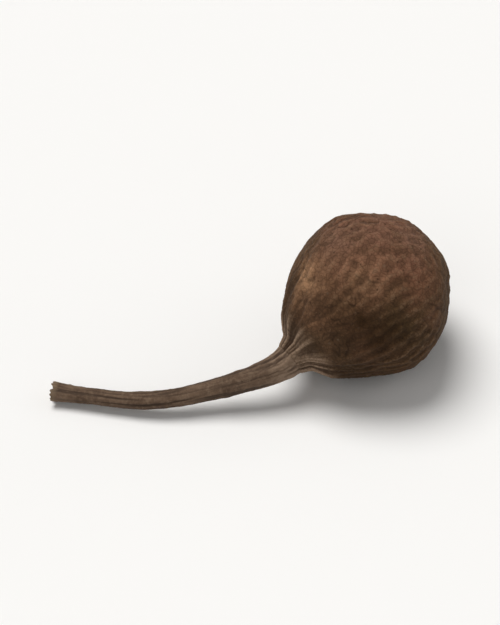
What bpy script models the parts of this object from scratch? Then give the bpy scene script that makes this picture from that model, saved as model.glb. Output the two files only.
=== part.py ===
"""Dried uziza pepper: one berry on its own curved stalk, lying on a flat surface.

The berry is a slightly oval, turned form that narrows into a short neck. It was pressed
on its spike while it ripened, which left soft flats, drying sank a few hollows, and it
rests on one small true flat. The stalk leaves the neck face to face, droops to the
surface and runs on along it in a soft double bend.

Origin: centre of the rest flat. +Z is up, and the stalk runs towards -X.
"""

import math

import bmesh
import bpy
from mathutils import Vector

MM = 0.001

# Driving dimensions, in millimetres
BERRY_DIAMETER = 5.00  # widest part of the oval, before the pressed flats
BERRY_LENGTH = 5.15  # the oval along its axis, without the neck
BERRY_TAPER = 0.085  # share of its width that the oval loses towards the neck
NECK_REACH = 2.88  # from the centre of the berry to the end of the neck
NECK_DIAMETER = 1.02  # at the face where the stalk joins
NECK_SLOPE = 0.72  # how fast the neck widens towards the body
NECK_FILLET = 1.05  # how far the neck's hollow flank runs into the body
REST_DEPTH = 0.20  # how deep the rest flat is cut into the underside
JOINT_GAP = 0.02  # between the neck's end and the stalk's end
STALK_LENGTH = 6.9
STALK_BASE_DIAMETER = 0.95
STALK_MID_DIAMETER = 0.54
STALK_TIP_DIAMETER = 0.64
STALK_BASE_TAPER = 2.0  # length over which the base narrows
STALK_TIP_FLARE = 0.55  # length over which the broken tip widens
STALK_CLEARANCE = 0.01  # lowest point of the stalk above the surface

# The axis of the berry, from its centre to its neck: turned in plan from -X
# towards -Y, and drooping below the horizontal.
AXIS_AZIMUTH = math.radians(36)
AXIS_DROOP = math.radians(18.5)
# The stalk's heading in plan, from -X towards -Y: it soon leaves the berry's own heading
# for its course, and bends back once further on.
STALK_COURSE = math.radians(8)
STALK_EASE = 0.08  # share of its length over which it leaves the berry's heading
STALK_BEND = math.radians(19)
STALK_BEND_SPAN = (0.40, 0.75)  # shares of its length between which it bends back

# Soft pressed flats, as the berry lies: azimuth from +X towards +Y and height in
# degrees, depth and softness in millimetres.
PRESSED_FLATS = (
    (156, 30, 0.26, 0.20),
    (88, 46, 0.15, 0.26),
    (34, 24, 0.12, 0.28),
    (-7, 2, 0.25, 0.18),
    (-80, -34, 0.22, 0.18),
    (108, -16, 0.24, 0.26),
    (-152, 44, 0.12, 0.22),
    (101, -62, 0.12, 0.12),
)
FLAT_SHARE = 0.72  # how much of its bulge a pressed flat loses

# Hollows that drying sank: azimuth and height in degrees, depth and half width
# in millimetres.
SUNK_HOLLOWS = (
    (-84, 24, 0.15, 1.00),
    (62, 4, 0.12, 0.85),
    (-28, -22, 0.10, 0.70),
    (176, -6, 0.09, 0.70),
)

TURN_STEPS = 48  # facets round the berry
BODY_ROWS = 25  # rings of the body
NECK_ROWS = 6  # rings of the neck
STALK_POINTS = 46


def direction(azimuth, height):
    """Unit vector for an azimuth and a height in degrees."""
    a, h = math.radians(azimuth), math.radians(height)
    return Vector((math.cos(h) * math.cos(a), math.cos(h) * math.sin(a), math.sin(h)))


def neck_direction():
    """Unit vector from the berry's centre to its neck."""
    flat = math.cos(AXIS_DROOP)
    return Vector(
        (
            -flat * math.cos(AXIS_AZIMUTH),
            -flat * math.sin(AXIS_AZIMUTH),
            -math.sin(AXIS_DROOP),
        )
    )


def body_radius(z):
    """Radius of the bare oval at height z on the berry's axis."""
    half = BERRY_LENGTH / 2
    low = min(1.0, max(0.0, (-z / half - 0.1) / 0.8))
    narrow = 1 - BERRY_TAPER * low * low * (3 - 2 * low)
    return BERRY_DIAMETER / 2 * narrow * math.sqrt(max(0.0, 1 - (z / half) ** 2))


def smooth_max(a, b, k):
    """The larger of a and b, with a fillet of size k where they meet."""
    h = max(k - abs(a - b), 0.0) / k
    return max(a, b) + h * h * k / 4


def outer_radius(z):
    """Radius of the whole turned form, body and neck, at height z."""
    waist = -0.3 * BERRY_LENGTH / 2  # the neck has no part in the form above this
    if z >= waist:
        return body_radius(z)
    up = max(0.0, z + NECK_REACH)
    neck = NECK_DIAMETER / 2 + NECK_SLOPE * up * up / (up + 0.15)
    fillet = NECK_FILLET * min(1.0, 0.02 + up / 0.6) * min(1.0, (waist - z) / 0.9)
    return smooth_max(body_radius(z), neck, max(fillet, 1e-6))


def profile():
    """Outline of the berry from the apex down the outer side to the neck's end."""
    half = BERRY_LENGTH / 2
    points = [(0.0, half)]
    lowest = -0.84 * half
    stop = math.acos(lowest / half)
    for i in range(1, BODY_ROWS + 1):
        z = half * math.cos(stop * i / BODY_ROWS)
        points.append((outer_radius(z), z))
    for i in range(1, NECK_ROWS + 1):
        z = lowest + (-NECK_REACH - lowest) * i / NECK_ROWS
        points.append((outer_radius(z), z))
    points.append((outer_radius(-NECK_REACH) * 0.5, -NECK_REACH))
    points.append((0.0, -NECK_REACH))
    return points


def shrunk(p):
    """Where a point of the turned form lies once the berry has been pressed and dried.

    p is in millimetres from the berry's centre, as the berry lies.
    """
    along = -p.dot(neck_direction())
    # the neck keeps its turned form, so that the stalk meets a true face
    keep = min(1.0, max(0.0, (along + 2.95) / 0.9))
    keep = keep * keep * (3 - 2 * keep)
    q = p.copy()
    for azimuth, height, depth, soft in PRESSED_FLATS:
        d = direction(azimuth, height)
        over = q.dot(d) - (BERRY_DIAMETER / 2 - depth)
        q -= d * (FLAT_SHARE * (over + math.hypot(over, soft)) / 2)
    out = q.normalized()
    for azimuth, height, depth, width in SUNK_HOLLOWS:
        d = direction(azimuth, height)
        off = out.angle(d) * BERRY_DIAMETER / 2
        q -= d * (depth * math.exp(-((off / width) ** 2)))
    return p.lerp(q, keep)


def material(name, colour, roughness):
    """A Principled material of one colour."""
    m = bpy.data.materials.new(name)
    m.use_nodes = True
    shader = m.node_tree.nodes["Principled BSDF"]
    shader.inputs["Base Color"].default_value = (*colour, 1.0)
    shader.inputs["Roughness"].default_value = roughness
    shader.inputs["Metallic"].default_value = 0.0
    return m


def evaluated_mesh(obj):
    """A new mesh of the object as its modifiers make it."""
    graph = bpy.context.evaluated_depsgraph_get()
    return bpy.data.meshes.new_from_object(obj.evaluated_get(graph))


def make_berry(parts, cutters):
    """Turned oval with a neck, then pressed, sunk, and cut flat where it rests."""
    points = profile()
    outline = bpy.data.meshes.new("berry_outline")
    outline.from_pydata(
        [(r * MM, 0.0, z * MM) for r, z in points],
        [(i, i + 1) for i in range(len(points) - 1)],
        [],
    )
    turned = bpy.data.objects.new("berry_turned", outline)
    parts.objects.link(turned)
    screw = turned.modifiers.new("turn", "SCREW")
    screw.axis = "Z"
    screw.angle = math.tau
    screw.steps = TURN_STEPS
    screw.render_steps = TURN_STEPS
    screw.use_merge_vertices = True
    screw.merge_threshold = 1e-7
    screw.use_normal_calculate = True
    mesh = evaluated_mesh(turned)
    mesh.name = "berry"
    bpy.data.objects.remove(turned)

    # The mesh stays upright, along its own axis; the object lays it down.
    lay = (-neck_direction()).to_track_quat("Z", "Y")
    spin = lay.to_matrix()
    back = spin.inverted()
    shape = bmesh.new()
    shape.from_mesh(mesh)
    bmesh.ops.remove_doubles(shape, verts=shape.verts[:], dist=1e-7)
    for v in shape.verts:
        v.co = back @ shrunk(spin @ (v.co / MM)) * MM
    bmesh.ops.recalc_face_normals(shape, faces=shape.faces[:])
    shape.to_mesh(mesh)
    shape.free()

    # The rest plane, and the centre of the slice that it takes off, which the
    # origin is under.
    laid = [spin @ v.co for v in mesh.vertices]
    rest = min(p.z for p in laid) + REST_DEPTH * MM
    under = [p for p in laid if p.z < rest]
    centre = sum(under, Vector()) / len(under)
    berry = bpy.data.objects.new("berry", mesh)
    parts.objects.link(berry)
    berry.rotation_mode = "QUATERNION"
    berry.rotation_quaternion = lay
    berry.location = (-centre.x, -centre.y, -rest)

    box = bmesh.new()
    bmesh.ops.create_cube(box, size=1.0)
    block = bpy.data.meshes.new("rest_block")
    box.to_mesh(block)
    box.free()
    cutter = bpy.data.objects.new("rest_block", block)
    cutters.objects.link(cutter)
    cutter.scale = (12 * MM, 12 * MM, 2 * MM)
    cutter.location = (0.0, 0.0, -1 * MM)
    cutter.hide_render = True
    cutter.display_type = "WIRE"
    cut = berry.modifiers.new("rest_flat", "BOOLEAN")
    cut.operation = "DIFFERENCE"
    cut.solver = "EXACT"
    cut.object = cutter
    mesh.shade_smooth()
    mesh.set_sharp_from_angle(angle=math.radians(40))
    mesh.materials.append(material("dried_berry_skin", (0.155, 0.085, 0.050), 0.72))
    return berry


def stalk_radius(s):
    """Radius of the stalk at distance s from the neck."""
    base = math.exp(-((s / STALK_BASE_TAPER) ** 1.3))
    tip = math.exp(-(((STALK_LENGTH - s) / STALK_TIP_FLARE) ** 2))
    d = STALK_MID_DIAMETER
    d += (STALK_BASE_DIAMETER - STALK_MID_DIAMETER) * base
    d += (STALK_TIP_DIAMETER - STALK_MID_DIAMETER) * tip
    return d / 2


def stalk_route(start, level):
    """Centre line from the neck: the droop fades out over the length level."""
    fine = 12
    step = STALK_LENGTH / ((STALK_POINTS - 1) * fine)
    p = start.copy()
    points = [p.copy()]
    for i in range((STALK_POINTS - 1) * fine):
        s = (i + 0.5) * step
        f = s / STALK_LENGTH
        turn = STALK_COURSE + (AXIS_AZIMUTH - STALK_COURSE) * math.exp(-f / STALK_EASE)
        bent = (f - STALK_BEND_SPAN[0]) / (STALK_BEND_SPAN[1] - STALK_BEND_SPAN[0])
        bent = min(1.0, max(0.0, bent))
        turn -= STALK_BEND * bent * bent * (3 - 2 * bent)
        droop = AXIS_DROOP * math.exp(-((s / level) ** 1.5))
        p += step * Vector(
            (
                -math.cos(droop) * math.cos(turn),
                -math.cos(droop) * math.sin(turn),
                -math.sin(droop),
            )
        )
        if (i + 1) % fine == 0:
            points.append(p.copy())
    return points


def settled_route(start):
    """The route whose lowest point just clears the surface."""
    step = STALK_LENGTH / (STALK_POINTS - 1)
    short, long = 0.3, 6.0
    for _ in range(50):
        level = (short + long) / 2
        points = stalk_route(start, level)
        lowest = min(p.z - stalk_radius(i * step) for i, p in enumerate(points))
        if lowest > STALK_CLEARANCE:
            short = level
        else:
            long = level
    return points


def make_stalk(parts, berry):
    """A tapering tube along the route, with filled ends."""
    neck = neck_direction()
    start = berry.location / MM + neck * (NECK_REACH + JOINT_GAP)
    points = settled_route(start)
    step = STALK_LENGTH / (STALK_POINTS - 1)
    points[1] = start + neck * step  # it leaves the neck squarely
    data = bpy.data.curves.new("stalk", "CURVE")
    data.dimensions = "3D"
    data.twist_mode = "MINIMUM"
    data.bevel_depth = MM
    data.bevel_resolution = 4
    data.use_fill_caps = True
    spline = data.splines.new("POLY")
    spline.points.add(len(points) - 1)
    for i, p in enumerate(points):
        spline.points[i].co = (*(p * MM), 1.0)
        spline.points[i].radius = stalk_radius(i * step)
    spline.use_smooth = True
    data.materials.append(material("dried_stalk", (0.130, 0.092, 0.062), 0.80))
    stalk = bpy.data.objects.new("stalk", data)
    parts.objects.link(stalk)
    return stalk


def main():
    for old in list(bpy.data.objects):
        bpy.data.objects.remove(old, do_unlink=True)
    parts = bpy.data.collections.new("uziza_pepper")
    cutters = bpy.data.collections.new("uziza_pepper_cutters")
    bpy.context.scene.collection.children.link(parts)
    bpy.context.scene.collection.children.link(cutters)
    berry = make_berry(parts, cutters)
    make_stalk(parts, berry)
    bpy.context.view_layer.update()


main()
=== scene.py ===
import math

import bpy
import numpy as np
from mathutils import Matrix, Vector


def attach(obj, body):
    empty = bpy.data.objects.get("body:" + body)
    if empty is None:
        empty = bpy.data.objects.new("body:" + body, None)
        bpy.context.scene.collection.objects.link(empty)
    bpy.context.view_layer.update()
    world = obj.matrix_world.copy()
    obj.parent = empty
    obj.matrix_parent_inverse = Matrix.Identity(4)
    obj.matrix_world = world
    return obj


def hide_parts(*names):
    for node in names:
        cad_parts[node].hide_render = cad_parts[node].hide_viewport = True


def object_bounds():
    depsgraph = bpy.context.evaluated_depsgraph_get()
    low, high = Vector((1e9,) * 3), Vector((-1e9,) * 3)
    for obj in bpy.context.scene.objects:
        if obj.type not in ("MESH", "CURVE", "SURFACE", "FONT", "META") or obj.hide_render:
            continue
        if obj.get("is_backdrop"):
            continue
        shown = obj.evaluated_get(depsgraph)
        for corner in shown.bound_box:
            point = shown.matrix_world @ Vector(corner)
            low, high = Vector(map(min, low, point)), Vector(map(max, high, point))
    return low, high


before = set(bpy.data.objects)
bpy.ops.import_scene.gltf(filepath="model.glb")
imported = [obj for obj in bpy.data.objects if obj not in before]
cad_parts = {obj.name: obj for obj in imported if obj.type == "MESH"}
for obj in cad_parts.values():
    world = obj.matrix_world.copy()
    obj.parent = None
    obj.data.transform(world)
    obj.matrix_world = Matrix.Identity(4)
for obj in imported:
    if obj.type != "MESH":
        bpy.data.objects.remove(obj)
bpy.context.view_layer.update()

MM = 0.001

# ---------------------------------------------------------------------------
# The berry's and the stalk's own measures, in millimetres, as part.py has them
# ---------------------------------------------------------------------------
BERRY_DIAMETER = 5.00
BERRY_LENGTH = 5.15
BERRY_TAPER = 0.085
NECK_REACH = 2.88
NECK_DIAMETER = 1.02
NECK_SLOPE = 0.72
NECK_FILLET = 1.05
JOINT_GAP = 0.02
STALK_LENGTH = 6.9
STALK_BASE_DIAMETER = 0.95
STALK_MID_DIAMETER = 0.54
STALK_TIP_DIAMETER = 0.64
STALK_BASE_TAPER = 2.0
STALK_TIP_FLARE = 0.55
STALK_CLEARANCE = 0.01
AXIS_AZIMUTH = math.radians(36)
AXIS_DROOP = math.radians(18.5)
STALK_COURSE = math.radians(8)
STALK_EASE = 0.08
STALK_BEND = math.radians(19)
STALK_BEND_SPAN = (0.40, 0.75)
STALK_POINTS = 46
PRESSED_FLATS = (
    (156, 30, 0.26, 0.20),
    (88, 46, 0.15, 0.26),
    (34, 24, 0.12, 0.28),
    (-7, 2, 0.25, 0.18),
    (-80, -34, 0.22, 0.18),
    (108, -16, 0.24, 0.26),
    (-152, 44, 0.12, 0.22),
    (101, -62, 0.12, 0.12),
)
FLAT_SHARE = 0.72
SUNK_HOLLOWS = (
    (-84, 24, 0.15, 1.00),
    (62, 4, 0.12, 0.85),
    (-28, -22, 0.10, 0.70),
    (176, -6, 0.09, 0.70),
)
CENTRE = np.array([0.00431, 0.10063, 2.26932])  # of the berry, where part.py lays it

NECK = np.array(
    [
        -math.cos(AXIS_DROOP) * math.cos(AXIS_AZIMUTH),
        -math.cos(AXIS_DROOP) * math.sin(AXIS_AZIMUTH),
        -math.sin(AXIS_DROOP),
    ]
)
SIDE = np.cross(NECK, [0.0, 0.0, 1.0])
SIDE /= np.linalg.norm(SIDE)
OVER = np.cross(SIDE, NECK)  # SIDE and OVER span the berry's cross-section


# ---------------------------------------------------------------------------
# Noise on arrays of points
# ---------------------------------------------------------------------------
def lattice(ix, iy, iz, seed):
    """A repeatable hash of lattice points, as 32-bit integers."""
    h = (
        ix.astype(np.uint64) * np.uint64(0x9E3779B1)
        ^ iy.astype(np.uint64) * np.uint64(0x85EBCA77)
        ^ iz.astype(np.uint64) * np.uint64(0xC2B2AE3D)
        ^ np.uint64(seed * 0x27D4EB2F & 0xFFFFFFFF)
    ) & np.uint64(0xFFFFFFFF)
    h ^= h >> np.uint64(15)
    h = (h * np.uint64(0x2C1B3C6D)) & np.uint64(0xFFFFFFFF)
    h ^= h >> np.uint64(12)
    h = (h * np.uint64(0x297A2D39)) & np.uint64(0xFFFFFFFF)
    h ^= h >> np.uint64(15)
    return h


def gradient_noise(p, seed=0):
    """Gradient noise at points p, about -0.7 to 0.7."""
    cell = np.floor(p).astype(np.int64)
    f = p - cell
    w = f * f * f * (f * (f * 6 - 15) + 10)
    total = np.zeros(len(p))
    for dx in (0, 1):
        for dy in (0, 1):
            for dz in (0, 1):
                h = lattice(
                    cell[:, 0] + dx + 4096, cell[:, 1] + dy + 4096, cell[:, 2] + dz + 4096, seed
                )
                a = (h & np.uint64(0xFFFF)).astype(float) / 65536 * math.tau
                z = (h >> np.uint64(16)).astype(float) / 65536 * 2 - 1
                r = np.sqrt(np.maximum(0, 1 - z * z))
                dot = (
                    (f[:, 0] - dx) * r * np.cos(a)
                    + (f[:, 1] - dy) * r * np.sin(a)
                    + (f[:, 2] - dz) * z
                )
                wx = w[:, 0] if dx else 1 - w[:, 0]
                wy = w[:, 1] if dy else 1 - w[:, 1]
                wz = w[:, 2] if dz else 1 - w[:, 2]
                total += dot * wx * wy * wz
    return total * 1.5


def fractal(p, octaves=4, seed=0, gain=0.5):
    total, amp, top = np.zeros(len(p)), 1.0, 0.0
    for i in range(octaves):
        total += amp * gradient_noise(p * 2.03**i + 11.3 * i, seed + i)
        top += amp
        amp *= gain
    return total / top


def ridged(p, octaves=3, seed=0, gain=0.5):
    """1 on narrow crests and near 0 between them."""
    total, amp, top = np.zeros(len(p)), 1.0, 0.0
    for i in range(octaves):
        n = 1 - np.abs(gradient_noise(p * 2.07**i + 7.7 * i, seed + i)) * 1.8
        total += amp * np.clip(n, 0, 1) ** 2
        top += amp
        amp *= gain
    return total / top


def smoothstep(lo, hi, x):
    t = np.clip((x - lo) / (hi - lo), 0, 1)
    return t * t * (3 - 2 * t)


# ---------------------------------------------------------------------------
# The berry's form
# ---------------------------------------------------------------------------
def direction(azimuth, height):
    a, h = math.radians(azimuth), math.radians(height)
    return np.array([math.cos(h) * math.cos(a), math.cos(h) * math.sin(a), math.sin(h)])


def outer_radius(z):
    """Radius of the turned form, body and neck, at heights z along its axis."""
    half = BERRY_LENGTH / 2
    body = BERRY_DIAMETER / 2 * np.sqrt(np.maximum(0, 1 - (z / half) ** 2))
    body = body * (1 - BERRY_TAPER * smoothstep(0.1, 0.9, -z / half))
    waist = -0.3 * half
    up = np.maximum(0, z + NECK_REACH)
    neck = NECK_DIAMETER / 2 + NECK_SLOPE * up * up / (up + 0.15)
    k = NECK_FILLET * np.minimum(1, 0.02 + up / 0.6) * np.clip((waist - z) / 0.9, 0, 1)
    k = np.maximum(k, 1e-6)
    h = np.maximum(k - np.abs(body - neck), 0) / k
    joined = np.maximum(body, neck) + h * h * k / 4
    return np.where(z >= waist, body, joined)


def turned_form():
    """Distance from the berry's centre against the angle from its apex, for the turned form."""
    half = BERRY_LENGTH / 2
    z = np.cos(np.linspace(0, math.pi, 6000)) * (half + NECK_REACH) / 2 + (half - NECK_REACH) / 2
    r = outer_radius(z)
    # the end of the neck is rounded over
    roll = np.clip((-NECK_REACH + 0.09 - z) / 0.09, 0, 1)
    r = r - 0.07 * (1 - np.sqrt(1 - roll**2 * 0.999))
    rim = r[-1]
    r = np.concatenate([r, np.linspace(rim, 0, 60)[1:]])
    z = np.concatenate([z, np.full(59, -NECK_REACH)])
    return np.arctan2(r, z), np.hypot(r, z)


def shrunk(p):
    """The turned form's points once the berry has been pressed and dried."""
    along = -(p @ NECK)
    keep = np.clip((along + 2.95) / 0.9, 0, 1)
    keep = (keep * keep * (3 - 2 * keep))[:, None]
    q = p.copy()
    for azimuth, height, depth, soft in PRESSED_FLATS:
        d = direction(azimuth, height)
        over = q @ d - (BERRY_DIAMETER / 2 - depth)
        q -= d * (FLAT_SHARE * (over + np.hypot(over, soft)) / 2)[:, None]
    out = q / np.linalg.norm(q, axis=1)[:, None]
    for azimuth, height, depth, width in SUNK_HOLLOWS:
        d = direction(azimuth, height)
        off = np.arccos(np.clip(out @ d, -1, 1)) * BERRY_DIAMETER / 2
        q -= d * (depth * np.exp(-((off / width) ** 2)))[:, None]
    return p + (q - p) * keep


def ball(n):
    """Unit directions and quads of a cube pushed out to a sphere, n cells along each edge.

    One side of the cube looks along the berry's neck.
    """
    seen, points, quads = {}, [], []

    def vertex(key):
        if key not in seen:
            seen[key] = len(points)
            c = np.tan((np.array(key) / n * 2 - 1) * math.pi / 4)
            points.append(c / np.linalg.norm(c))
        return seen[key]

    for axis in range(3):
        u, v = (axis + 1) % 3, (axis + 2) % 3
        for end in (0, n):
            for i in range(n):
                for j in range(n):
                    ring = []
                    for a, b in ((i, j), (i + 1, j), (i + 1, j + 1), (i, j + 1)):
                        key = [0, 0, 0]
                        key[axis], key[u], key[v] = end, a, b
                        ring.append(vertex(tuple(key)))
                    quads.append(ring if end else ring[::-1])
    points = np.array(points)
    basis = np.array([SIDE, OVER, -NECK])  # rows: where the cube's x, y and z go
    if np.linalg.det(basis) < 0:
        basis[0] = -basis[0]
    points = points @ basis
    # the cells are smaller round the neck
    polar = np.arccos(np.clip(points @ NECK, -1, 1))
    closer = polar * (1 - 0.38 * np.exp(-((polar / 0.75) ** 2)))
    across = points - np.outer(points @ NECK, NECK)
    across /= np.linalg.norm(across, axis=1)[:, None] + 1e-12
    points = np.outer(np.cos(closer), NECK) + across * np.sin(closer)[:, None]
    return points, np.array(quads)


def neighbours(quads, count):
    """Each vertex's neighbours along the edges; a corner of the cube has one twice less."""
    pairs = np.concatenate([quads[:, [k, (k + 1) % 4]] for k in range(4)])
    pairs = np.unique(np.sort(pairs, axis=1), axis=0)
    both = np.concatenate([pairs, pairs[:, ::-1]])
    both = both[np.argsort(both[:, 0], kind="stable")]
    start = np.searchsorted(both[:, 0], np.arange(count))
    stop = np.append(start[1:], len(both))
    table = np.tile(np.arange(count)[:, None], (1, 4))
    for k in range(4):
        has = start + k < stop
        table[has, k] = both[(start + k)[has], 1]
    return table


def wrinkles(points, table, wave, drive, pits, along, seed):
    """A pattern of buckled skin: crests near 1 and troughs near 0.

    Steps the growth of buckles on the surface, as a stiff skin on a soft shrinking body
    gets them: one wavelength grows and the rest die out. wave is the crests' spacing in
    cells at each point, drive how strongly the skin buckles there, pits how much crests
    close into nets, and along how much they run with the berry's axis.
    """
    rng = np.random.default_rng(seed)
    k2 = 4 * np.sin(math.pi / wave) ** 2
    u = rng.normal(0, 0.45, len(points))
    # meridian direction at each point, and each neighbour's share of it
    axial = -NECK - points * (points @ -NECK)[:, None] / (points**2).sum(1)[:, None]
    axial /= np.linalg.norm(axial, axis=1)[:, None] + 1e-9
    step = points[table] - points[:, None, :]
    length = np.linalg.norm(step, axis=2) + 1e-9
    share = (np.einsum("ijk,ik->ij", step, axial) / length) ** 2 * along[:, None]
    dt = 0.028
    scale = np.sqrt(np.maximum(drive, 0.005))
    for _ in range(1500):
        near = u[table]
        lap = near.sum(1) - 4 * u
        inner = lap + k2 * u
        outer = inner[table].sum(1) - 4 * inner + k2 * inner
        smooth = (share * (near - u[:, None])).sum(1)
        u = u + dt * (drive * u - outer - pits * scale * u * u - u**3 + smooth)
    return np.clip(0.5 + 0.5 * u / (2 * np.sqrt(np.maximum(drive, 0.02) / 3)), 0, 1.25)


def mesh_object(name, points, faces):
    """A smooth mesh object from points in metres and faces of one size."""
    mesh = bpy.data.meshes.new(name)
    mesh.vertices.add(len(points))
    mesh.vertices.foreach_set("co", np.asarray(points, np.float32).ravel())
    sizes = np.array([len(f) for f in faces], np.int32)
    mesh.loops.add(int(sizes.sum()))
    mesh.loops.foreach_set("vertex_index", np.concatenate([np.asarray(f, np.int32) for f in faces]))
    mesh.polygons.add(len(faces))
    mesh.polygons.foreach_set("loop_start", np.concatenate([[0], np.cumsum(sizes)[:-1]]).astype(np.int32))
    mesh.update(calc_edges=True)
    mesh.validate()
    mesh.shade_smooth()
    obj = bpy.data.objects.new(name, mesh)
    bpy.context.scene.collection.objects.link(obj)
    return obj


def coordinates(mesh):
    co = np.zeros(len(mesh.vertices) * 3, np.float32)
    mesh.vertices.foreach_get("co", co)
    return co.reshape(-1, 3).astype(float)


def normals(mesh):
    n = np.zeros(len(mesh.vertices) * 3, np.float32)
    mesh.vertex_normals.foreach_get("vector", n)
    return n.reshape(-1, 3).astype(float)


def keep_values(mesh, **values):
    """Stores one number a vertex under each name, for the materials to read."""
    for name, data in values.items():
        if name in mesh.attributes:
            mesh.attributes.remove(mesh.attributes[name])
        a = mesh.attributes.new(name, "FLOAT", "POINT")
        a.data.foreach_set("value", np.asarray(data, np.float32))


def values_of(mesh, name):
    data = np.zeros(len(mesh.vertices), np.float32)
    mesh.attributes[name].data.foreach_get("value", data)
    return data.astype(float)


def grooves(theta, s, seed=5):
    """Lengthwise crests, round the neck and the stalk: 1 on a crest, 0 in a groove.

    s is the distance past the joint, negative on the berry.
    """
    turn = theta + 0.10 * s + 0.25 * np.sin(0.9 * s)
    p = np.column_stack([2.3 * np.cos(turn), 2.3 * np.sin(turn), 0.34 * s])
    big = ridged(p, 1, seed)
    fine = ridged(p * np.array([2.4, 2.4, 1.6]) + 3.1, 1, seed + 9)
    return np.clip(0.66 * big + 0.34 * fine, 0, 1)


def around(p):
    """Angle round the berry's axis, and distance past the joint, of points from its centre."""
    return np.arctan2(p @ OVER, p @ SIDE), p @ NECK - NECK_REACH


WRINKLE_DEPTH = 0.052  # of the net of wrinkles, crest to trough
# folds that run up from the neck: start round the axis in degrees, bend, reach, half width
# and depth
FURROWS = (
    (28, 0.5, 1.9, 0.15, 0.050),
    (100, -0.4, 1.6, 0.13, 0.055),
    (165, 0.3, 1.5, 0.14, 0.045),
    (-70, -0.5, 1.7, 0.15, 0.055),
    (-140, 0.4, 1.5, 0.12, 0.045),
)


def blob(out, azimuth, height, width):
    """1 at a direction, fading over width degrees."""
    off = np.degrees(np.arccos(np.clip(out @ direction(azimuth, height), -1, 1)))
    return np.exp(-((off / width) ** 2))


def furrow(out, p, start, bend, reach, width):
    """A fold that runs up from the neck: 1 along its line, 0 away from it."""
    theta, _ = around(p)
    polar = np.arccos(np.clip(out @ NECK, -1, 1))
    line = math.radians(start) + bend * np.sin(polar * 1.3) + 0.22 * gradient_noise(
        np.column_stack([polar * 2.2, np.full(len(p), start * 0.37), np.zeros(len(p))]), 77
    )
    off = (theta - line + math.pi) % math.tau - math.pi
    across = off * np.linalg.norm(p, axis=1) * np.sin(polar)
    fade = smoothstep(0.22, 0.5, polar) * (1 - smoothstep(reach * 0.55, reach, polar))
    return np.exp(-((across / width) ** 2)) * fade


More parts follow.
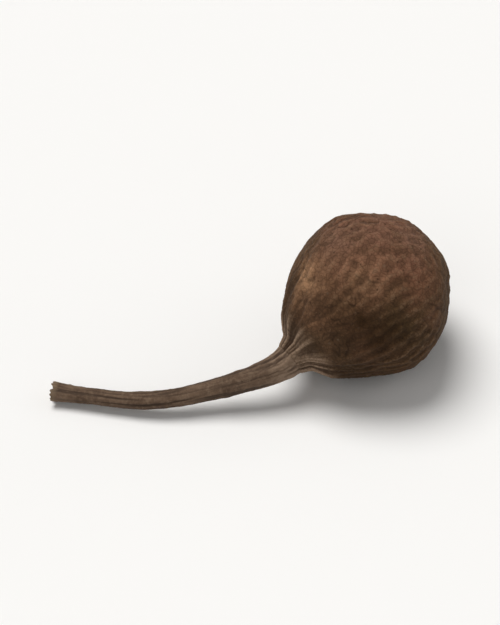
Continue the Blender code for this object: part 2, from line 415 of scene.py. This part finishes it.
def make_berry():
    cells = 62
    out, quads = ball(cells)
    angles, reach = turned_form()
    polar = np.arccos(np.clip(out @ -NECK, -1, 1))
    p = shrunk(out * np.interp(polar, angles, reach)[:, None])

    # slow unevenness of the whole form
    away = p / np.linalg.norm(p, axis=1)[:, None]
    theta, past = around(p)
    free = smoothstep(0.0, 1.1, -past)  # none at the joint
    p -= away * (0.075 * (0.5 + 0.5 * fractal(p * 0.62 + 3.0, 2, 21)) * free)[:, None]

    # folds that run up from the neck
    for start, bend, length, width, depth in FURROWS:
        p -= away * (depth * furrow(away, p, start, bend, length, width))[:, None]

    # buckled skin: how strongly and how finely it buckles changes from place to place
    table = neighbours(quads, len(p))
    loose = np.clip(0.52 + 0.95 * fractal(p * 0.50 + 9.0, 3, 31), 0, 1)
    tight = np.maximum(blob(away, 70, 58, 40), 0.8 * blob(away, -18, 22, 26))
    drive = 0.015 + 0.10 * loose * (1 - 0.70 * tight)
    drive += 0.05 * np.exp(-(((past + 0.8) / 0.7) ** 2))
    pits = 1.25 + 0.9 * fractal(p * 0.8 + 2.0, 2, 41)
    along = 0.9 * np.exp(-((past / 1.5) ** 2)) + 0.02
    wave = 6.6 + 3.4 * fractal(p * 0.8 + 6.0, 2, 43)
    pattern = wrinkles(p, table, wave, drive, pits, along, 4)
    deep = np.sqrt(np.clip(drive, 0, 0.13) / 0.11) * free

    coarse = mesh_object("berry_coarse", p * MM, quads)
    keep_values(coarse.data, pattern=pattern, deep=deep)
    sub = coarse.modifiers.new("smooth", "SUBSURF")
    sub.levels = sub.render_levels = 1
    graph = bpy.context.evaluated_depsgraph_get()
    mesh = bpy.data.meshes.new_from_object(coarse.evaluated_get(graph), preserve_all_data_layers=True, depsgraph=graph)
    bpy.data.objects.remove(coarse)
    mesh.name = "uziza_berry"
    berry = bpy.data.objects.new("uziza_berry", mesh)
    bpy.context.scene.collection.objects.link(berry)

    p = coordinates(mesh) / MM
    n = normals(mesh)
    pattern, deep = values_of(mesh, "pattern"), values_of(mesh, "deep")
    mesh.attributes.remove(mesh.attributes["pattern"])
    mesh.attributes.remove(mesh.attributes["deep"])
    theta, past = around(p)
    free = smoothstep(0.0, 0.5, -past)
    # narrow crests over wide troughs
    crest = np.clip(pattern, 0, 1.2) ** 1.9
    p -= n * (WRINKLE_DEPTH * deep * (1 - crest))[:, None]

    # fine skin: short creases that cross the folds, and a grain between them
    warp = np.column_stack([fractal(p * 1.7 + c, 2, 50 + c) for c in (0, 1, 2)])
    small = ridged(p * 2.3 + warp * 1.1, 3, 61, 0.6)
    crease = ridged(p * 1.45 + warp * 0.9 + 4.0, 1, 63) ** 5 * smoothstep(-0.25, 0.35, fractal(p * 0.9, 2, 65))
    grain = fractal(p * 5.2, 3, 71, 0.6)
    p += n * (0.021 * (small - 0.5) * (0.45 + 0.55 * deep) * free)[:, None]
    p -= n * (0.030 * crease * free)[:, None]
    p += n * (0.0095 * grain * free)[:, None]

    # the neck's lengthwise crests go on into the stalk
    near = np.exp(-((np.minimum(past, 0) / 0.85) ** 2))
    lines = grooves(theta, past)
    radial = p - np.outer(p @ NECK, NECK)
    radial /= np.linalg.norm(radial, axis=1)[:, None] + 1e-9
    wide = np.linalg.norm(p - np.outer(p @ NECK, NECK), axis=1)
    p -= radial * (0.075 * near * (1 - lines) * smoothstep(0.0, 0.2, wide))[:, None]
    # one or two of them run out over the body as low ribs
    far = np.exp(-(((past + 1.0) / 0.8) ** 2)) * smoothstep(0.0, 0.3, -past)
    p -= n * (0.030 * far * (1 - lines))[:, None]

    # the small scar of the stigma at the apex
    apex = p @ -NECK
    off = np.hypot(p @ SIDE - 0.10, p @ OVER + 0.06)
    scar = np.where(apex > 0, np.exp(-((off / 0.15) ** 2)), 0)
    rim = np.where(apex > 0, np.exp(-(((off - 0.24) / 0.07) ** 2)), 0)
    lobes = 0.5 + 0.5 * np.cos(3 * np.arctan2(p @ OVER + 0.06, p @ SIDE - 0.10) + 0.6)
    p += NECK * (0.055 * scar * (0.4 + 0.6 * lobes) - 0.030 * rim)[:, None]

    # it lies on its rest flat
    w = p + CENTRE
    low = w[:, 2]
    w[:, 2] = 0.5 * (low + np.hypot(low, 0.012)) + 0.001
    mesh.vertices.foreach_set("co", (w * MM).astype(np.float32).ravel())
    mesh.update()

    # values for the skin's colours
    n = normals(mesh)
    away = p / np.linalg.norm(p, axis=1)[:, None]
    clouds = fractal(p * 0.75 + 5.0, 4, 81)
    loose = deep
    red = 1.05 * blob(away, -125, 78, 34) + 0.75 * blob(away, 70, 50, 44) + 0.42 * blob(away, -35, 50, 28)
    red += 0.45 * blob(away, -144, 22, 16) + 0.40 * blob(away, -95, 4, 22) + 0.45 * blob(away, 150, -10, 40)
    red += 0.35 * blob(away, -38, 8, 16)
    red = np.clip(red + 0.50 * clouds - 0.02, 0, 1)
    spots = fractal(p * 1.6, 3, 91)
    # ochre patches; the strong one on the left shoulder is a painted highlight
    ochre = 1.30 * blob(away, -160, 38, 13) + 0.45 * blob(away, -95, 58, 17) + 0.36 * blob(away, 176, 4, 16)
    ochre += 0.30 * blob(away, 95, 18, 20) + 0.34 * blob(away, -118, 8, 13) + 0.28 * blob(away, -146, 23, 13) + 0.44 * blob(away, 28, 12, 17)
    ochre = np.clip(ochre * (0.80 + 1.1 * spots), 0, 1)
    # dark patches: stains, and painted shade in the front hollow and on the lower parts
    stain = 1.35 * blob(away, -88, 23, 18) + 0.42 * blob(away, -70, 8, 17) + 0.5 * blob(away, 20, -20, 26)
    stain += 0.5 * blob(away, 130, 30, 18)
    stain = np.clip(stain * (0.85 + 1.0 * spots[::1]), 0, 1)
    # painted shade in the wrinkles' troughs
    hollow = np.clip(1 - crest, 0, 1)
    # painted shade in the fine creases
    fine = np.clip(0.75 * (1 - small) + crease, 0, 1)
    # painted shade: 1 where the skin faces down, for a darker lower side
    under = smoothstep(0.45, -0.55, away[:, 2] + 0.12 * spots)
    keep_values(
        mesh,
        crest=crest,
        hollow=hollow * (0.3 + 0.7 * loose),
        crease=fine,
        red=red,
        ochre=ochre,
        stain=stain,
        lines=lines,
        neck=np.exp(-((np.minimum(past, 0) / 0.70) ** 2)),
        # painted shade in the grooves between the low ribs
        ribs=far * (1 - lines),
        scar=np.clip(scar + 0.6 * rim, 0, 1),
        under=under,
        shade=np.clip(np.maximum(stain, 0.6 * under), 0, 1),
        # a pale dusty bloom on the top, partly a painted highlight on the lit upper rim
        bloom=np.clip(0.65 * blob(away, 176, 68, 17) + 0.62 * blob(away, 8, 60, 16) + 0.35 * blob(away, 75, 82, 22), 0, 1),
    )
    mesh.shade_smooth()
    return berry


# ---------------------------------------------------------------------------
# The stalk's form
# ---------------------------------------------------------------------------
def stalk_radius(s):
    base = np.exp(-((np.maximum(s, 0) / STALK_BASE_TAPER) ** 1.3))
    tip = np.exp(-(((STALK_LENGTH - s) / STALK_TIP_FLARE) ** 2))
    d = STALK_MID_DIAMETER
    d = d + (STALK_BASE_DIAMETER - STALK_MID_DIAMETER) * base
    d = d + (STALK_TIP_DIAMETER - STALK_MID_DIAMETER) * tip
    return d / 2


def stalk_route(start, level):
    fine = 12
    count = (STALK_POINTS - 1) * fine
    step = STALK_LENGTH / count
    s = (np.arange(count) + 0.5) * step
    f = s / STALK_LENGTH
    turn = STALK_COURSE + (AXIS_AZIMUTH - STALK_COURSE) * np.exp(-f / STALK_EASE)
    turn -= STALK_BEND * smoothstep(*STALK_BEND_SPAN, f)
    droop = AXIS_DROOP * np.exp(-((s / level) ** 1.5))
    d = np.column_stack([-np.cos(droop) * np.cos(turn), -np.cos(droop) * np.sin(turn), -np.sin(droop)])
    return np.vstack([start, start + np.cumsum(d * step, axis=0)])


def settled_route(start):
    """The route that part.py gives the stalk, finely sampled, and the distance along it."""
    short, long = 0.3, 6.0
    for _ in range(50):
        level = (short + long) / 2
        points = stalk_route(start, level)
        s = np.linspace(0, STALK_LENGTH, len(points))
        if (points[:, 2] - stalk_radius(s))[::12].min() > STALK_CLEARANCE:
            short = level
        else:
            long = level
    return points, s


def make_stalk():
    start = CENTRE + NECK * (NECK_REACH + JOINT_GAP)
    route, run = settled_route(start)
    rows, sides = 330, 60
    inside = 0.14  # the base goes on into the neck
    s = np.concatenate([np.linspace(-inside, 0, 8)[:-1], np.linspace(0, STALK_LENGTH - 0.02, rows)])
    centre = np.column_stack([np.interp(s, run, route[:, k]) for k in range(3)])
    centre[s < 0] = start + NECK * s[s < 0][:, None]
    tangent = np.gradient(centre, axis=0)
    tangent /= np.linalg.norm(tangent, axis=1)[:, None]
    # carry the cross-section along without twist, starting from the berry's own
    a = SIDE.copy()
    first, second = [], []
    for t in tangent:
        a = a - t * (a @ t)
        a /= np.linalg.norm(a)
        first.append(a.copy())
        second.append(-np.cross(t, a))
    first, second = np.array(first), np.array(second)
    if second[0] @ OVER < 0:
        second = -second

    theta = np.linspace(0, math.tau, sides, endpoint=False)
    S = np.repeat(s, sides)
    T = np.tile(theta, len(s))
    lines = grooves(T, S)
    r = np.repeat(stalk_radius(s), sides)
    # drying flattened it unevenly, pulled it in at places and left small knots
    oval = 0.5 + 0.5 * np.cos(2 * (T - 0.5 * np.sin(0.8 * S) - 0.4))
    pulled = 0.5 - 0.5 * fractal(np.column_stack([S * 0.9, np.zeros(len(S)), np.full(len(S), 4.2)]), 2, 15)
    lumps = fractal(np.column_stack([1.3 * np.cos(T), 1.3 * np.sin(T), S * 1.7]), 3, 17)
    cross = ridged(np.column_stack([0.9 * np.cos(T), 0.9 * np.sin(T), S * 3.6]), 2, 19)
    settle = smoothstep(-0.05, 0.5, S)
    r = r * (1.03 - (0.12 * (1 - oval) + 0.10 * pulled) * settle)
    r = r - 0.050 * (1 - lines) * (0.75 + 0.5 * np.exp(-((S / 1.2) ** 2)))
    r = r - 0.018 * (0.5 - 0.5 * lumps) - 0.008 * (1 - cross) * settle
    # the snapped end is ragged: each fibre ends at its own length
    end = smoothstep(STALK_LENGTH - 0.30, STALK_LENGTH - 0.02, S)
    fibre = fractal(np.column_stack([3.2 * np.cos(T), 3.2 * np.sin(T), np.full(len(T), 8.0)]), 2, 23)
    back = 0.13 * np.clip(0.5 + 1.1 * fibre, 0, 1) * end
    ring = first[:, None, :] * np.cos(theta)[None, :, None] + second[:, None, :] * np.sin(theta)[None, :, None]
    p = np.repeat(centre, sides, axis=0) + ring.reshape(-1, 3) * r[:, None]
    p -= np.repeat(tangent, sides, axis=0) * back[:, None]

    faces = []
    for i in range(len(s) - 1):
        for j in range(sides):
            k = (j + 1) % sides
            faces.append([i * sides + j, i * sides + k, (i + 1) * sides + k, (i + 1) * sides + j])
    S_all, lines_all, core = [S], [lines], [np.zeros(len(S))]

    # caps: a plain one inside the neck, a fibrous one at the snapped end
    points = [p]
    count = len(p)
    t_end = tangent[-1]
    rim = p[-sides:]
    middle = rim.mean(0)
    steps = 9
    last = np.arange(count - sides, count)
    for m in range(1, steps):
        f = 1 - m / steps
        spot = middle + (rim - middle) * f
        q = np.column_stack([spot @ first[-1], spot @ second[-1], np.zeros(sides)])
        rough = fractal(q * 9.0 + 40.0, 2, 29)
        dent = 0.11 * (1 - f**2)
        flat = spot - t_end * ((spot - middle) @ t_end)[:, None] * (1 - f)
        ringp = flat - t_end * (dent * (0.55 + 0.9 * rough))[:, None]
        points.append(ringp)
        here = np.arange(count, count + sides)
        for j in range(sides):
            k = (j + 1) % sides
            faces.append([last[j], last[k], here[k], here[j]])
        last, count = here, count + sides
        S_all.append(np.full(sides, STALK_LENGTH))
        lines_all.append(np.clip(0.5 + rough, 0, 1))
        core.append(np.full(sides, 1.0 if m > 1 else 0.7))
    points.append((middle - t_end * 0.09)[None, :])
    for j in range(sides):
        faces.append([last[j], last[(j + 1) % sides], count])
    count += 1
    S_all.append(np.array([STALK_LENGTH]))
    lines_all.append(np.array([0.4]))
    core.append(np.array([1.0]))
    points.append(centre[0][None, :])
    for j in range(sides):
        faces.append([(j + 1) % sides, j, count])
    count += 1
    S_all.append(np.array([-inside]))
    lines_all.append(np.array([0.4]))
    core.append(np.array([0.0]))

    p = np.vstack(points)
    S, lines, core = np.concatenate(S_all), np.concatenate(lines_all), np.concatenate(core)
    p[:, 2] = np.maximum(p[:, 2], 0.004)
    # faces must look outwards, whichever way the cross-section turned
    if np.dot(np.cross(first[0], second[0]), tangent[0]) > 0:
        pass
    else:
        faces = [f[::-1] for f in faces]
    stalk = mesh_object("uziza_stalk", p * MM, faces)
    keep_values(
        stalk.data,
        crest=lines,
        # 1 at the joint, where the material paints a highlight on the crests
        near=np.exp(-((np.maximum(S, 0) / 1.0) ** 2)),
        core=core,
        snapped=smoothstep(STALK_LENGTH - 0.42, STALK_LENGTH - 0.05, S) * (1 - core),
    )
    return stalk


# ---------------------------------------------------------------------------
# Materials
# ---------------------------------------------------------------------------
class Nodes:
    """A short way to write a material's nodes."""

    def __init__(self, name):
        self.material = bpy.data.materials.new(name)
        self.material.use_nodes = True
        self.tree = self.material.node_tree
        self.shader = self.tree.nodes["Principled BSDF"]
        self.where = self.tree.nodes.new("ShaderNodeTexCoord").outputs["Object"]

    def put(self, socket, value):
        if isinstance(value, bpy.types.NodeSocket):
            self.tree.links.new(value, socket)
        elif hasattr(value, "__len__") and len(value) == 3 and socket.type == "RGBA":
            socket.default_value = (*value, 1.0)
        else:
            socket.default_value = value

    def value(self, name):
        node = self.tree.nodes.new("ShaderNodeAttribute")
        node.attribute_name = name
        return node.outputs["Fac"]

    def math(self, operation, a, b=0.0, clamp=False):
        node = self.tree.nodes.new("ShaderNodeMath")
        node.operation = operation
        node.use_clamp = clamp
        self.put(node.inputs[0], a)
        self.put(node.inputs[1], b)
        return node.outputs[0]

    def ramp(self, value, lo, hi, to_lo=0.0, to_hi=1.0):
        node = self.tree.nodes.new("ShaderNodeMapRange")
        node.interpolation_type = "SMOOTHSTEP"
        self.put(node.inputs["Value"], value)
        node.inputs["From Min"].default_value = lo
        node.inputs["From Max"].default_value = hi
        node.inputs["To Min"].default_value = to_lo
        node.inputs["To Max"].default_value = to_hi
        return node.outputs["Result"]

    def mix(self, factor, a, b, blend="MIX"):
        node = self.tree.nodes.new("ShaderNodeMix")
        node.data_type = "RGBA"
        node.blend_type = blend
        self.put(node.inputs["Factor"], factor)
        self.put(node.inputs["A"], a)
        self.put(node.inputs["B"], b)
        return node.outputs["Result"]

    def noise(self, scale, detail=3.0, rough=0.55, distortion=0.0, stretch=None):
        """Noise with scale features to a millimetre."""
        where = self.where
        if stretch:
            mapping = self.tree.nodes.new("ShaderNodeMapping")
            mapping.inputs["Scale"].default_value = stretch
            self.tree.links.new(where, mapping.inputs["Vector"])
            where = mapping.outputs["Vector"]
        node = self.tree.nodes.new("ShaderNodeTexNoise")
        node.inputs["Scale"].default_value = scale * 1000
        node.inputs["Detail"].default_value = detail
        node.inputs["Roughness"].default_value = rough
        node.inputs["Distortion"].default_value = distortion
        self.tree.links.new(where, node.inputs["Vector"])
        return node.outputs["Fac"]

    def cells(self, scale, feature="DISTANCE_TO_EDGE"):
        node = self.tree.nodes.new("ShaderNodeTexVoronoi")
        node.feature = feature
        node.inputs["Scale"].default_value = scale * 1000
        self.tree.links.new(self.where, node.inputs["Vector"])
        return node.outputs["Distance"]

    def bump(self, height, distance, strength=1.0, normal=None):
        node = self.tree.nodes.new("ShaderNodeBump")
        node.inputs["Strength"].default_value = strength
        node.inputs["Distance"].default_value = distance * MM
        self.tree.links.new(height, node.inputs["Height"])
        if normal is not None:
            self.tree.links.new(normal, node.inputs["Normal"])
        return node.outputs["Normal"]


STALK_TAN = (0.148, 0.094, 0.060)
STALK_DARK = (0.030, 0.017, 0.010)


def bark(m, crest, near):
    """The stalk's colour. The neck fades into it, so both read the same noise.

    near is 1 where the two join, where the crests get a painted highlight. The grooves get painted shade.
    """
    mottle = m.noise(1.5, 4.0, 0.6, 0.4)
    fine = m.noise(6.5, 4.0, 0.62)
    colour = m.mix(m.ramp(mottle, 0.32, 0.68), (0.082, 0.048, 0.029), STALK_TAN)
    colour = m.mix(m.ramp(fine, 0.42, 0.7, 0.0, 0.6), colour, (0.225, 0.155, 0.106))
    # painted shade in the grooves
    colour = m.mix(m.ramp(crest, 0.05, 0.62, 0.80, 0.0), colour, STALK_DARK)
    # painted highlight on the crests near the joint
    pale = m.math("MULTIPLY", m.ramp(near, 0.55, 0.95, 0.0, 0.58), m.ramp(crest, 0.20, 0.75))
    return m.mix(pale, colour, (0.352, 0.247, 0.170))


def berry_skin():
    m = Nodes("dried_berry_skin")
    olive = (0.078, 0.047, 0.020)
    umber = (0.110, 0.058, 0.027)
    red = (0.214, 0.092, 0.054)
    ochre = (0.500, 0.278, 0.150)
    dark = (0.016, 0.008, 0.004)
    # pale dust colour; on the crests it is also a painted highlight
    bloom = (0.228, 0.142, 0.086)

    broad = m.noise(0.55, 3.0, 0.6)
    mottle = m.noise(1.9, 5.0, 0.62, 0.6)
    fine = m.noise(7.5, 4.0, 0.6)
    grain = m.noise(18.0, 3.0, 0.6)
    leather = m.cells(7.5)

    colour = m.mix(m.ramp(broad, 0.36, 0.64), olive, umber)
    reddish = m.math("MULTIPLY", m.value("red"), m.ramp(mottle, 0.28, 0.62, 0.45, 1.0))
    colour = m.mix(reddish, colour, red)
    # ochre patches, with a painted highlight on the left shoulder
    patch = m.math("MULTIPLY", m.value("ochre"), m.ramp(mottle, 0.32, 0.60, 0.35, 1.0))
    colour = m.mix(patch, colour, ochre)
    # pale bloom on the top: dust, partly a painted highlight on the upper rim
    frost = m.math("MULTIPLY", m.value("bloom"), m.ramp(mottle, 0.30, 0.62, 0.25, 0.60))
    colour = m.mix(frost, colour, (0.262, 0.158, 0.112))
    # dark stains with painted shade in the front hollow, and painted shade that makes the lower side darker and
    # greener
    stain = m.math("MULTIPLY", m.value("stain"), m.ramp(mottle, 0.30, 0.60, 0.55, 0.95))
    colour = m.mix(stain, colour, (0.034, 0.0155, 0.0048))
    colour = m.mix(m.math("MULTIPLY", m.value("under"), 0.55), colour, (0.042, 0.021, 0.008))
    # painted shade darkens the wrinkles' troughs and creases; the crests get pale dust with a painted highlight, less
    # of it on the dark patches and the shaded lower side
    colour = m.mix(m.ramp(m.value("hollow"), 0.35, 1.0, 0.0, 0.42), colour, dark)
    colour = m.mix(m.ramp(m.value("crease"), 0.30, 0.95, 0.0, 0.45), colour, dark)
    dust = m.math("MULTIPLY", m.ramp(m.value("crest"), 0.20, 0.9, 0.06, 0.50), m.ramp(fine, 0.36, 0.64))
    dust = m.math("MULTIPLY", dust, m.ramp(m.value("shade"), 0.0, 1.0, 1.0, 0.22))
    colour = m.mix(dust, colour, bloom)
    # painted shade in the grooves between the low ribs; the neck fades into the stalk's grey tan, with a painted
    # highlight on its crests near the joint
    colour = m.mix(m.ramp(m.value("ribs"), 0.05, 0.75, 0.0, 0.45), colour, dark)
    colour = m.mix(m.ramp(m.value("neck"), 0.12, 0.92), colour, bark(m, m.value("lines"), m.value("neck")))
    # painted highlight on the neck's crests near the joint
    pale = m.math("MULTIPLY", m.ramp(m.value("neck"), 0.28, 0.65, 0.0, 0.78), m.ramp(m.value("neck"), 0.75, 1.0, 1.0, 0.0))
    colour = m.mix(m.math("MULTIPLY", pale, m.ramp(m.value("lines"), 0.25, 0.85)), colour, (0.362, 0.252, 0.172))
    # scar of the stigma
    colour = m.mix(m.ramp(m.value("scar"), 0.15, 0.9, 0.0, 0.8), colour, (0.024, 0.014, 0.009))
    # the fine leather of the skin, small dark pores and pale flecks
    colour = m.mix(m.ramp(leather, 0.02, 0.16, 0.30, 0.0), colour, dark)
    specks = m.math("MULTIPLY", m.ramp(m.cells(3.3, "F1"), 0.05, 0.20, 0.34, 0.0), m.ramp(mottle, 0.45, 0.60))
    colour = m.mix(specks, colour, (0.230, 0.160, 0.105))
    pores = m.ramp(m.cells(5.2, "F1"), 0.10, 0.24, 0.55, 0.0)
    colour = m.mix(m.math("MULTIPLY", pores, m.ramp(fine, 0.35, 0.6)), colour, dark)
    flecks = m.math("MULTIPLY", m.ramp(grain, 0.60, 0.72), m.ramp(mottle, 0.42, 0.6, 0.0, 0.40))
    flecks = m.math("MULTIPLY", flecks, m.ramp(m.value("shade"), 0.0, 1.0, 1.0, 0.15))
    colour = m.mix(flecks, colour, bloom)
    colour = m.mix(m.ramp(grain, 0.25, 0.75, 0.22, 0.0), colour, dark)
    m.put(m.shader.inputs["Base Color"], colour)

    rough = m.math("ADD", m.ramp(fine, 0.3, 0.7, 0.64, 0.82), m.math("MULTIPLY", dust, 0.22), clamp=True)
    m.put(m.shader.inputs["Roughness"], rough)
    m.shader.inputs["Specular IOR Level"].default_value = 0.05
    m.shader.inputs["Sheen Weight"].default_value = 0.04
    m.shader.inputs["Sheen Roughness"].default_value = 0.60
    m.shader.inputs["Sheen Tint"].default_value = (0.80, 0.56, 0.40, 1.0)

    n = m.bump(m.noise(4.0, 5.0, 0.62, 0.5), 0.027, 1.0)
    n = m.bump(leather, 0.018, 0.8, n)
    n = m.bump(grain, 0.018, 0.9, n)
    m.put(m.shader.inputs["Normal"], n)
    return m.material


def stalk_bark():
    m = Nodes("dried_stalk")
    fine = m.noise(6.5, 4.0, 0.62)
    grain = m.noise(20.0, 3.0, 0.55)
    colour = bark(m, m.value("crest"), m.value("near"))
    colour = m.mix(m.ramp(m.value("snapped"), 0.2, 1.0, 0.0, 0.55), colour, (0.240, 0.172, 0.112))
    wood = m.mix(m.ramp(fine, 0.35, 0.65), (0.300, 0.215, 0.130), (0.420, 0.320, 0.205))
    colour = m.mix(m.value("core"), colour, wood)
    colour = m.mix(m.ramp(grain, 0.3, 0.7, 0.22, 0.0), colour, STALK_DARK)
    m.put(m.shader.inputs["Base Color"], colour)
    m.put(m.shader.inputs["Roughness"], m.ramp(fine, 0.3, 0.7, 0.66, 0.86))
    m.shader.inputs["Specular IOR Level"].default_value = 0.20
    n = m.bump(fine, 0.030, 0.9)
    n = m.bump(grain, 0.012, 0.9, n)
    m.put(m.shader.inputs["Normal"], n)
    return m.material


berry = make_berry()
stalk = make_stalk()
berry.data.materials.clear()
berry.data.materials.append(berry_skin())
stalk.data.materials.clear()
stalk.data.materials.append(stalk_bark())
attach(berry, "root")
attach(stalk, "root")
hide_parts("berry")
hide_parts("stalk")


# ---------------------------------------------------------------------------
# Floor, light and camera
# ---------------------------------------------------------------------------
def make_floor():
    floor = mesh_object(
        "floor",
        np.array([[-1, -1, 0], [1, -1, 0], [1, 1, 0], [-1, 1, 0]], float) * 1.5,
        [[0, 1, 2, 3]],
    )
    m = Nodes("pale_floor")
    m.shader.inputs["Base Color"].default_value = (0.90, 0.90, 0.90, 1.0)
    m.shader.inputs["Roughness"].default_value = 0.9
    m.shader.inputs["Specular IOR Level"].default_value = 0.1
    floor.data.materials.append(m.material)
    floor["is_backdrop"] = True


def soft_light(name, azimuth, height, spread, strength, colour):
    """A distant soft light, spread degrees wide. azimuth 0 is the camera's side."""
    a, h = math.radians(azimuth), math.radians(height)
    back = Vector((math.sin(a) * math.cos(h), -math.cos(a) * math.cos(h), math.sin(h)))
    data = bpy.data.lights.new(name, "SUN")
    data.angle = math.radians(spread)
    data.energy = strength
    data.color = colour
    lamp = bpy.data.objects.new(name, data)
    lamp.location = back * 0.3
    lamp.rotation_mode = "QUATERNION"
    lamp.rotation_quaternion = (-back).to_track_quat("-Z", "Y")
    bpy.context.scene.collection.objects.link(lamp)


make_floor()
soft_light("key", -130, 71, 36, 2.40, (1.0, 0.985, 0.96))
soft_light("front", -30, 45, 42, 0.30, (1.0, 0.99, 0.975))
soft_light("side", 103, 24, 44, 0.34, (1.0, 0.985, 0.965))

# an even pale world, brightest in a narrow band at the horizon, where the floor ends
world = bpy.data.worlds.new("soft_world")
world.use_nodes = True
tree = world.node_tree
split = tree.nodes.new("ShaderNodeSeparateXYZ")
tree.links.new(tree.nodes.new("ShaderNodeTexCoord").outputs["Generated"], split.inputs[0])
band = tree.nodes.new("ShaderNodeMapRange")
band.interpolation_type = "SMOOTHSTEP"
band.inputs["From Min"].default_value = 0.05
band.inputs["From Max"].default_value = 0.15
band.inputs["To Min"].default_value = 0.94
band.inputs["To Max"].default_value = 0.23
tree.links.new(split.outputs["Z"], band.inputs["Value"])
tree.nodes["Background"].inputs["Color"].default_value = (1.0, 0.989, 0.967, 1.0)
tree.links.new(band.outputs["Result"], tree.nodes["Background"].inputs["Strength"])
bpy.context.scene.world = world
bpy.context.scene.view_settings.view_transform = "Standard"

ELEVATION = math.radians(48)
DISTANCE = 0.160
lo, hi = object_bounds()
back = Vector((0.0, -math.cos(ELEVATION), math.sin(ELEVATION)))
aim = Vector(((lo.x + hi.x) / 2, (lo.y + hi.y) / 2 - 0.0002, 0.0019))
data = bpy.data.cameras.new("camera")
data.sensor_width = 36
data.lens = 36 * DISTANCE / 0.0174
data.clip_start = 0.005
data.clip_end = 10
camera = bpy.data.objects.new("camera", data)
camera.location = aim + back * DISTANCE
camera.rotation_mode = "QUATERNION"
camera.rotation_quaternion = (-back).to_track_quat("-Z", "Y")
bpy.context.scene.collection.objects.link(camera)
bpy.context.scene.camera = camera
